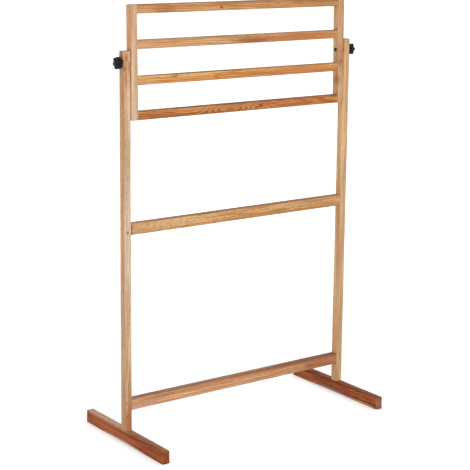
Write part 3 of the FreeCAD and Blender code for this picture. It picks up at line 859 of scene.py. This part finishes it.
@dataclass
class PivotBolt:
    """A domed bolt with a square neck, on which the towel frame turns.

    head, shank and root are diameters, neck is the width of the square, and thread the length of
    the thread. under_head is the distance of the head's underside from the stand's middle.
    """

    pivot: Pivot
    head: float = 10.0
    head_round: float = 2.3
    head_sides: int = 64
    dome: float = 2.8
    neck: float = 6.4
    neck_height: float = 3.0
    neck_sunk: float = 0.2
    neck_round: float = 0.35
    shank: float = 6.0
    shank_sides: int = 48
    length: float = 51.5
    thread: float = 27.0
    thread_run_out: float = 1.6
    thread_steps: int = 28
    pitch: float = 1.0
    root: float = 4.85
    root_overlap: float = 0.12
    crest: float = 0.18
    under_head: float = 310.4

    def head_mesh(self) -> bmesh.types.BMesh:
        """The pressed dome, with a soft rim.

        Returns:
            The mesh, below its underside at 0.
        """
        radius, top, bend, chamfer = self.head / 2, -self.dome, self.head_round, 0.12
        flat = [(0.0, top), (1.3, top + 0.03), (2.4, top + 0.14)]
        dome = arc((radius - bend, top + bend + 0.1), bend, -80, -4, 7)
        rim = [(radius, -chamfer), (radius - chamfer, 0.0), (0.0, 0.0)]
        return turned(flat + dome + rim, self.head_sides)

    def neck_mesh(self) -> bmesh.types.BMesh:
        """The square neck, with softened corners.

        Returns:
            The mesh, sunk a little into the head.
        """
        mesh = bmesh.new()
        middle = Matrix.Translation((0, 0, (self.neck_height - self.neck_sunk) / 2))
        size = Matrix.Diagonal((self.neck, self.neck, self.neck_height + self.neck_sunk, 1))
        bmesh.ops.create_cube(mesh, size=1.0, matrix=middle @ size)
        bmesh.ops.bevel(
            mesh, geom=mesh.edges[:], offset=self.neck_round, affect="EDGES",
            segments=2, profile=0.5, material=-1,
        )
        return mesh

    def shank_mesh(self) -> bmesh.types.BMesh:
        """The plain shank, stepping down to the root of the thread, with a chamfered tip.

        Returns:
            The mesh, from inside the neck to the tip.
        """
        full, root, end, step = self.shank / 2 - 0.01, self.root / 2, self.length, 0.5
        start = end - self.thread
        plain = [(0.0, 1.0), (full, 1.0), (full, start)]
        core = [(root, start + step), (root, end - step), (root - 0.6, end), (0.0, end)]
        return turned(plain + core, self.shank_sides)

    def thread_mesh(self) -> bmesh.types.BMesh:
        """The thread's ridge, one profile wound up the shank.

        Returns:
            The mesh, its foot sunk a little into the core.
        """
        mesh = bmesh.new()
        root, full = self.root / 2 - self.root_overlap, self.shank / 2 - 0.02
        foot, crest = 0.96 * self.pitch / 2, self.crest / 2
        start = self.length - self.thread + 0.6
        ridge = [(root, start - foot), (full, start - crest), (full, start + crest), (root, start + foot)]
        first = mesh.faces.new([mesh.verts.new((radius, 0.0, height)) for radius, height in ridge])
        turns = int((self.thread - self.thread_run_out) / self.pitch)
        bmesh.ops.spin(
            mesh, geom=[first], cent=(0, 0, 0), axis=(0, 0, 1),
            dvec=(0, 0, self.pitch / self.thread_steps),
            angle=2 * pi * turns, steps=self.thread_steps * turns,
        )
        bmesh.ops.recalc_face_normals(mesh, faces=mesh.faces)
        return mesh

    def build(self) -> None:
        """Makes the bolt and lets it ride with the towel frame."""
        name = f"{self.pivot.side.word}_pivot_bolt"
        mesh = join((self.head_mesh(), self.neck_mesh(), self.shank_mesh(), self.thread_mesh()))
        material, place = BLACKENED.material(f"{name} black"), self.pivot.place(self.under_head)
        shown = piece_of(mesh, f"{name}_threaded", material, place, crease=28.0)
        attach(shown, "towel_frame")
        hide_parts(name)
        log.info("%s has %d faces", shown.name, len(shown.data.polygons))


@dataclass
class Hardware:
    """The steel, brass and dowels that hold the stand together, mostly out of sight."""

    rails: tuple[str, ...] = ("middle_rail", "lower_rail")
    bars: tuple[str, ...] = ("top_bar", "second_bar", "third_bar", "bottom_bar")

    def build(self) -> None:
        """Finishes the CAD pieces of every joint."""
        zinc = ZINC.material("zinc plated steel")
        black = BLACKENED.material("washer black")
        beech = Dowel().material("dowel beech")
        upright = Dowel(stretch=(1800.0, 1800.0, 60.0)).material("foot dowel beech")
        wear(beech, *(f"{bar}_dowels" for bar in self.bars))
        for side in Side:
            joints = [(f"{rail}_{side.word}", beech) for rail in self.rails]
            for joint, dowel in (*joints, (f"{side.word}_foot", upright)):
                wear(zinc, f"{joint}_bolt", f"{joint}_nut")
                wear(dowel, f"{joint}_dowel")
            wear(black, f"{side.word}_spacer_washer", f"{side.word}_clamp_washer")
            wear(BRASS.material(f"{side.word} insert brass"), f"{side.word}_knob_insert")


@dataclass
class Stand:
    """The two posts on their arched feet and the two rails between them.

    The sizes are a board's length and its two widths.
    """

    post: Point = (944.0, 22.0, 19.0)
    foot: Point = (360.0, 20.0, 32.0)
    rail: Point = (662.0, 20.0, 29.0)

    def posts(self) -> None:
        """Pale posts; each plug is cut from its own post, so its grain runs on."""
        board = partial(Wood, size=self.post, grain=Grain.UPWARD)
        left = board((228, 196, 162), (184, 140, 98), seed=1.0, ring=4.4, figure=0.3, fleck=0.4).marked(
            Mark((-420, 0, 0), (120, 30, 30), ORANGE, 0.30),
            Mark((-452, -11, 0), (60, 8, 14), (190, 116, 62), 0.8),
            Mark((455, -11, 0), (40, 12, 12), ORANGE, 0.22),
            Mark((20, -11, 2), (260, 8, 16), (240, 216, 192), 0.6),
            Mark((0, 2, 9.5), (460, 12, 4), (218, 168, 118), 0.55),
            Mark((440, 4, 9.5), (34, 11, 5), (196, 122, 76), 0.6),
            Mark((380, 0, 9.5), (60, 10, 5), (204, 140, 92), 0.45, 2.0),
            Mark((425, -11, 0), (60, 8, 14), (204, 136, 86), 0.45),
            Mark((456, -11, 2), (12, 6, 4), (146, 80, 46), 0.65),
            Mark((434, -11, -5), (18, 5, 3.4), (156, 92, 54), 0.55),
            Mark((402, -11, 3), (22, 5, 3), (160, 98, 58), 0.5),
            Mark((462, 2, 9.5), (10, 9, 4), (150, 86, 54), 0.6),
            Mark((60, -3, 9.5), (210, 3.4, 4), (184, 128, 82), 0.5),
            Mark((430, -9, 6), (8, 5, 5), STREAK, 0.85, 0.4),
            Mark((32, -11, 0.6), (5.5, 4, 3.6), KNOT, 0.85, 0.6),
            Mark((-436, -11, 2.6), (4, 3, 3), KNOT, 0.7, 0.4),
            Mark((-400, -11, 4.6), (7, 3, 3), STREAK, 0.5),
        )
        right = board(
            (232, 193, 147), (186, 138, 92), seed=2.3, heart=(-30.0, 30.0), ring=4.0, figure=0.4,
        ).marked(
            Mark((465, -11, -1.6), (3, 2.2, 2.2), KNOT, 0.8),
            Mark((-400, 6, 9), (160, 20, 9), ORANGE, 0.32),
            Mark((-455, -11, 0), (40, 12, 12), ORANGE, 0.2),
            Mark((-60, -11, 0), (300, 8, 16), (226, 188, 146), 0.45),
        )
        for side, wood in zip(Side, (left, right)):
            plugs = (f"{rail}_rail_{side.word}_plug" for rail in ("middle", "lower"))
            wood.dress(f"{side.word}_post", *plugs)

    def feet(self) -> None:
        """Rust-brown heartwood feet, with a strip of pale sapwood left along the top."""
        board = partial(Wood, size=self.foot, grain=Grain.BACKWARD, edge=0.5, gloss=0.16, fleck=0.4)
        left = board(
            (194, 108, 60), (122, 52, 26), seed=3.1, heart=(22.0, 44.0), ring=8.0, figure=0.35,
        ).marked(
            Mark((90, 0, 16), (160, 40, 3.6), (236, 194, 156), 0.9),
            Mark((-110, 0, 16), (110, 40, 3.0), (196, 130, 86), 0.7),
            Mark((60, 10, 6), (110, 12, 9), (176, 108, 66), 0.4),
            Mark((-130, 10, 0), (70, 12, 24), (150, 72, 38), 0.6),
        )
        right = board(
            (186, 106, 58), (108, 48, 26), seed=4.7, heart=(-26.0, 40.0), ring=7.0, figure=0.4,
        ).marked(
            Mark((-182, 0, 0), (5, 40, 22), (216, 160, 114), 0.85),
            Mark((-122, 10, -13), (60, 12, 4.5), (214, 152, 98), 0.8),
            Mark((118, 10, 1), (34, 12, 8), (196, 108, 46), 0.6, 1.6),
            Mark((40, 10, 6), (60, 12, 6), (120, 62, 26), 0.5, 1.0),
            Mark((-52, 10, 0), (26, 12, 12), (170, 62, 28), 0.6, 1.2),
            Mark((-150, 10, 4), (22, 12, 8), (176, 66, 30), 0.5),
            Mark((170, 10, 4), (20, 20, 20), (110, 76, 36), 0.5),
        )
        for side, wood in zip(Side, (left, right)):
            wood.dress(f"{side.word}_foot")

    def rails(self) -> None:
        """The middle rail pale, the lower one darker and redder towards its right end."""
        board = partial(Wood, size=self.rail, grain=Grain.ACROSS)
        middle = board(
            (236, 192, 138), (186, 130, 76), seed=5.2, edge=0.3, heart=(30.0, -34.0), ring=6.4, figure=0.3,
            fleck=0.75,
        ).marked(
            Mark((260, -10, 0), (150, 20, 20), (188, 128, 76), 0.35),
            Mark((-10, -10, 5), (70, 20, 5), ORANGE, 0.18),
            Mark((-270, -10, 0), (140, 20, 20), (208, 166, 124), 0.55),
            Mark((-85, -10, -11), (4, 4, 3), KNOT, 0.6, 0.4),
            # Painted shadow: the dark line where the rail meets the left post, in the shadow of the post's
            # front edge.
            Mark((-331, -10, 0), (5, 24, 24), (104, 60, 36), 0.9),
            Mark((140, -10, -3), (45, 6, 3.5), STREAK, 0.3),
            # Painted shade: the top face darker than the front, as the light falls from the front.
            Mark((0, 0, 14.5), (420, 40, 2.4), (172, 118, 72), 0.55),
        )
        lower = board(
            (228, 181, 138), (178, 122, 80), seed=6.4, heart=(26.0, 38.0), ring=4.6, figure=0.5, edge=0.35,
        ).marked(
            Mark((300, 0, 0), (150, 40, 40), (160, 90, 56), 0.7),
            Mark((235, -10, -2), (16, 8, 8), (164, 76, 46), 0.6, 0.8),
            # Painted shade: the top face and the top of the front darker, as the light falls from the
            # front.
            Mark((200, 0, 13), (220, 40, 3), (124, 72, 54), 0.5),
            Mark((0, -10, 9), (420, 14, 7), ORANGE, 0.42),
            Mark((-290, -10, -4), (60, 20, 9), (204, 152, 132), 0.5),
            # Painted shade: the top face darker than the front, as the light falls from the front.
            Mark((-220, 0, 14.5), (220, 40, 2.6), (140, 90, 62), 0.55),
        )
        middle.dress("middle_rail")
        lower.dress("lower_rail")

    def build(self) -> None:
        """Finishes the boards of the stand."""
        self.posts()
        self.feet()
        self.rails()


@dataclass
class TowelFrame:
    """The leaning frame of two stiles and four bars, each from a board of its own.

    The sizes are a board's length and its two widths.
    """

    stile: Point = (276.0, 22.0, 19.0)
    bar: Point = (620.8, 18.0, 22.0)

    def stiles(self) -> None:
        """The left stile pale, the right one darker below its pivot."""
        board = partial(Wood, size=self.stile, grain=Grain.UPWARD, lean=LEAN, ring=4.2)
        left = board((233, 201, 172), (190, 149, 113), seed=7.7, figure=0.4).marked(
            Mark((110, 0, 6), (60, 20, 14), (194, 140, 98), 0.4),
            Mark((20, 0, 9.5), (160, 14, 5), (240, 180, 116), 0.7),
            Mark((58, 0, 9.5), (34, 14, 5), (222, 142, 84), 0.5),
            Mark((24, 0, 9.5), (14, 14, 5), (170, 96, 54), 0.55),
        )
        right = board((219, 177, 132), (172, 119, 77), seed=8.9, heart=(-28.0, -30.0), figure=0.5).marked(
            Mark((10, 4, 9.5), (120, 9, 4), (222, 190, 150), 0.7),
            Mark((-20, -8, 0), (55, 12, 30), ORANGE, 0.4),
            Mark((55, -2.3, 9.5), (5, 4, 3), (132, 70, 40), 0.7, 0.6),
            Mark((-30, -11, 2), (10, 5, 4), (142, 72, 40), 0.75, 0.9),
            Mark((-78, -3, 6), (17, 12, 12), (164, 88, 52), 0.7),
        )
        for side, wood in zip(Side, (left, right)):
            wood.dress(f"{side.word}_stile")

    def bars(self) -> None:
        """Four streaky bars, darker from the top one down."""
        board = partial(Wood, size=self.bar, grain=Grain.ACROSS, lean=LEAN, edge=0.38)
        top = board(
            (220, 170, 116), (172, 114, 64), seed=10.1, heart=(28.0, 30.0), ring=4.6, figure=0.55,
        ).marked(
            Mark((-236, -9, -2), (46, 16, 13), (166, 104, 58), 0.62),
            Mark((-64.6, -9, -3.6), (5.5, 5, 3.4), KNOT, 0.9, 0.8),
            Mark((108.5, -9, 2.4), (7, 5, 1.8), KNOT, 0.6),
            Mark((240, 0, 0), (110, 30, 30), (174, 116, 70), 0.5),
        )
        second = board(
            (227, 180, 134), (183, 129, 80), seed=11.6, heart=(34.0, -26.0), ring=4.8, figure=0.5,
        ).marked(
            Mark((30, -9, -2), (72, 16, 12), (164, 90, 44), 0.8),
            Mark((210, 0, 0), (170, 30, 30), (204, 124, 64), 0.7),
        )
        third = board(
            (242, 192, 126), (188, 122, 60), seed=12.2, heart=(24.0, 34.0), ring=4.2, figure=0.75,
        ).marked(
            Mark((-204, -9, 5.5), (13, 8, 6), (176, 100, 50), 0.7, 0.8),
            Mark((-80.3, -9, -2.9), (8, 6, 5), (160, 100, 56), 0.6, 0.6),
            # Painted shade: the top face darker, as the light falls from the front.
            Mark((-120, 9, 11), (230, 40, 2.2), (112, 68, 36), 0.75),
            Mark((-290, -9, 0), (40, 20, 20), (226, 184, 132), 0.5),
            Mark((180, -9, 0), (190, 30, 30), (196, 116, 58), 0.6),
        )
        bottom = board(
            (214, 154, 96), (156, 90, 40), seed=13.8, heart=(18.0, -20.0), drift=(0.05, 0.09), ring=5.2,
            figure=0.95,
        ).marked(
            Mark((-28, -9, 2), (46, 16, 9), (158, 94, 50), 0.4, 7.0),
            Mark((190, -9, 0), (150, 30, 30), (198, 118, 64), 0.8),
            Mark((57, -9, -1.1), (6, 5, 4), KNOT, 0.9, 0.9),
            # Painted shade: the top face darker, as the light falls from the front.
            Mark((-60, 9, 11), (280, 40, 2.4), (108, 62, 32), 0.8),
        )
        for name, wood in zip(("top", "second", "third", "bottom"), (top, second, third, bottom)):
            wood.dress(f"{name}_bar")

    def build(self) -> None:
        """Finishes the boards of the frame."""
        self.stiles()
        self.bars()


@dataclass(frozen=True)
class Lamp:
    """A square soft box that faces the stand, with its place and width in metres."""

    name: str
    at: Point
    width: float
    power: float

    def build(self, target: Vector) -> None:
        """Hangs the lamp.

        Args:
            target: Where it is turned to.
        """
        light = bpy.data.lights.new(self.name, "AREA")
        light.shape = "SQUARE"
        light.size = self.width
        light.energy = self.power
        lamp = bpy.data.objects.new(self.name, light)
        lamp.location = self.at
        lamp.rotation_euler = (Vector(self.at) - target).to_track_quat("Z", "Y").to_euler()
        bpy.context.scene.collection.objects.link(lamp)


@dataclass
class Studio:
    """A white sweep, soft boxes and the camera, in metres and radians.

    ambient is the world's light at the horizon and overhead. floor_glow is how white the floor
    glows for the camera, near the stand and far from it, away from the painted contact shadow,
    where ambient occlusion dims the glow near the stand. The two shadow settings are that painted
    shadow's reach, in metres, and the span of ambient occlusion over which it fades.
    """

    lamps: tuple[Lamp, ...] = (
        Lamp("key soft box", (-1.5, -3.7, 1.3), 2.4, 111.0),
        Lamp("left soft box", (-3.9, -0.4, 1.1), 2.0, 35.0),
        Lamp("right soft box", (3.8, -0.6, 1.3), 2.0, 16.0),
        Lamp("back soft box", (0.4, 3.8, 1.2), 2.2, 72.0),
    )
    lamp_target: Point = (0.0, 0.0, 0.6)
    ambient: Span = (0.46, 0.18)
    paper: Colour = (0.94, 0.94, 0.94)
    floor_size: float = 80.0
    floor_rise: Span = (1.2, 6.0)
    floor_glow: Span = (0.55, 1.0)
    painted_shadow_reach: float = 0.05
    painted_shadow_fade: Span = (0.15, 0.95)
    camera_at: Point = (-2.1073339, -2.8681851, 1.2976505)
    yaw: float = 0.6307
    pitch: float = 0.1944
    roll: float = 0.0103
    lens: float = 108.65
    shift: float = -0.09

    def sky(self) -> None:
        """A white backdrop that lights the stand softly, more from the sides than from above."""
        world = bpy.data.worlds.new("studio white")
        world.use_nodes = True
        nodes = Nodes(world.node_tree)
        *_, height = nodes.axes(nodes.node("TexCoord").outputs["Generated"])
        soft = nodes.span(height, 0.0, 1.0, *self.ambient)
        background = world.node_tree.nodes["Background"]
        nodes.put(background.inputs["Color"], WHITE)
        level = nodes.node("MapRange", nodes.seen(), 0.0, 1.0, soft, 1.0).outputs[0]
        nodes.put(background.inputs["Strength"], level)
        bpy.context.scene.world = world

    def floor(self) -> None:
        """A pale floor that reads white to the camera and keeps the stand's soft shadow.

        Near the stand, ambient occlusion dims its glow: a painted contact shadow.
        """
        mesh = bmesh.new()
        bmesh.ops.create_grid(mesh, x_segments=2, y_segments=2, size=self.floor_size / 2)
        made = bpy.data.meshes.new("floor")
        mesh.to_mesh(made)
        mesh.free()
        shader = Shader("floor white")
        paper = shader.node("BsdfDiffuse", self.paper)
        rising = shader.span(shader.length(shader.place), *self.floor_rise, *self.floor_glow)
        # Painted contact shadow: ambient occlusion near the stand dims the floor's glow.
        closed = shader.node("AmbientOcclusion", WHITE, self.painted_shadow_reach, samples=16)
        outside_painted_shadow = shader.span(closed.outputs["AO"], *self.painted_shadow_fade)
        glow_with_painted_shadow = shader.sum("MULTIPLY", shader.seen(), shader.sum("MULTIPLY", rising, outside_painted_shadow))
        glow = shader.node("Emission", WHITE, glow_with_painted_shadow)
        both = shader.node("AddShader", paper.outputs[0], glow.outputs[0])
        shader.put(shader.tree.nodes["Material Output"].inputs["Surface"], both.outputs[0])
        made.materials.append(shader.material)
        floor = bpy.data.objects.new("floor", made)
        bpy.context.scene.collection.objects.link(floor)

    def camera(self) -> None:
        """The camera, a little above the stand and to its left, looking slightly down."""
        ahead = Vector((sin(self.yaw), cos(self.yaw), 0.0))
        right = Vector((cos(self.yaw), -sin(self.yaw), 0.0))
        look = cos(self.pitch) * ahead - sin(self.pitch) * Vector((0, 0, 1))
        up = cos(self.pitch) * Vector((0, 0, 1)) + sin(self.pitch) * ahead
        across = cos(self.roll) * right + sin(self.roll) * up
        above = cos(self.roll) * up - sin(self.roll) * right
        lens = bpy.data.cameras.new("camera")
        lens.lens = self.lens
        lens.sensor_width = 36.0
        lens.shift_y = self.shift
        camera = bpy.data.objects.new("camera", lens)
        turn = Matrix((across, above, -look)).transposed().to_4x4()
        camera.matrix_world = Matrix.Translation(self.camera_at) @ turn
        bpy.context.scene.collection.objects.link(camera)
        bpy.context.scene.camera = camera

    def build(self) -> None:
        """Sets up the camera, the floor, the sky and the lamps."""
        bpy.context.scene.view_settings.view_transform = "Standard"
        self.camera()
        self.floor()
        self.sky()
        for lamp in self.lamps:
            lamp.build(Vector(self.lamp_target))


def main() -> None:
    """Builds the studio and dresses the stand, sub-assembly by sub-assembly."""
    logging.basicConfig(level=logging.INFO, format="%(message)s")
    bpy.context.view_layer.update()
    Studio().build()
    Stand().build()
    TowelFrame().build()
    for side, turn in ((Side.LEFT, 14.0), (Side.RIGHT, 0.0)):
        pivot = Pivot(side)
        StarKnob(pivot, turn).build()
        PivotBolt(pivot).build()
    Hardware().build()


if __name__ == "__main__":
    main()
